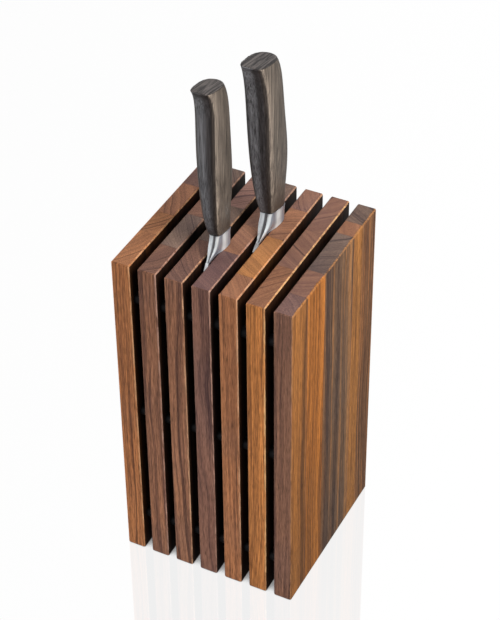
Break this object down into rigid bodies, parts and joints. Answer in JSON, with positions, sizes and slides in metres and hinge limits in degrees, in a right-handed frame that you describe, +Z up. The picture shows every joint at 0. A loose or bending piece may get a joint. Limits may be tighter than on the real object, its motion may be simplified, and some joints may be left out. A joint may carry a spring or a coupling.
{
  "type": "knife block with knives",
  "caption": "Upright block of flat walnut slats held apart by rods, with wooden-handled knives standing blade down in its open slots; each knife lifts straight out.",
  "frame": {"origin": "middle of the block's footprint, on the surface that it stands on", "axes": "+Z up, along the slats and the way the knives lift out; -Y is the open front that the blades' edges face; +X across the slats, to the right seen from the front"},
  "size_m": [0.127, 0.125, 0.3857],
  "materials": {
    "walnut_dark": "oiled, satin",
    "walnut_brown": "oiled, satin",
    "walnut_golden": "oiled, satin",
    "handle_wood": "smoked dark, waxed satin",
    "polished_steel": "mirror polished",
    "blade_steel": "fine satin",
    "rod_steel": "blackened, satin turned"
  },
  "bodies": {
    "block": {"rod_back_high": "rod_steel", "rod_back_low": "rod_steel", "rod_back_middle": "rod_steel", "rod_front_high": "rod_steel", "rod_front_low": "rod_steel", "rod_front_middle": "rod_steel", "slat_1_stave_1": "walnut_brown", "slat_1_stave_2": "walnut_dark", "slat_1_stave_3": "walnut_brown", "slat_1_stave_4": "walnut_brown", "slat_2_stave_1": "walnut_dark", "slat_2_stave_2": "walnut_brown", "slat_2_stave_3": "walnut_brown", "slat_2_stave_4": "walnut_dark", "slat_3_stave_1": "walnut_dark", "slat_3_stave_2": "walnut_brown", "slat_3_stave_3": "walnut_brown", "slat_4_stave_1": "walnut_dark", "slat_4_stave_2": "walnut_brown", "slat_4_stave_3": "walnut_brown", "slat_4_stave_4": "walnut_dark", "slat_5_stave_1": "walnut_brown", "slat_5_stave_2": "walnut_golden", "slat_5_stave_3": "walnut_brown", "slat_5_stave_4": "walnut_brown", "slat_6_stave_1": "walnut_golden", "slat_6_stave_2": "walnut_brown", "slat_6_stave_3": "walnut_brown", "slat_7_stave_1": "walnut_golden", "slat_7_stave_2": "walnut_golden", "slat_7_stave_3": "walnut_dark", "slat_7_stave_4": "walnut_golden", "slat_7_stave_5": "walnut_dark", "sleeves_back_high": "rod_steel", "sleeves_back_low": "rod_steel", "sleeves_back_middle": "rod_steel", "sleeves_front_high": "rod_steel", "sleeves_front_low": "rod_steel", "sleeves_front_middle": "rod_steel"},
    "large_knife": {"large_knife_blade": "blade_steel", "large_knife_bolster": "polished_steel", "large_knife_handle": "handle_wood"},
    "small_knife": {"small_knife_blade": "blade_steel", "small_knife_bolster": "polished_steel", "small_knife_handle": "handle_wood"}
  },
  "joints": [
    {"name": "large_knife_lift", "type": "slide", "parent": "block", "child": "large_knife", "axis": [0, 0, 1], "range_m": [0, 0.22]},
    {"name": "small_knife_lift", "type": "slide", "parent": "block", "child": "small_knife", "axis": [0, 0, 1], "range_m": [0, 0.18]}
  ]
}
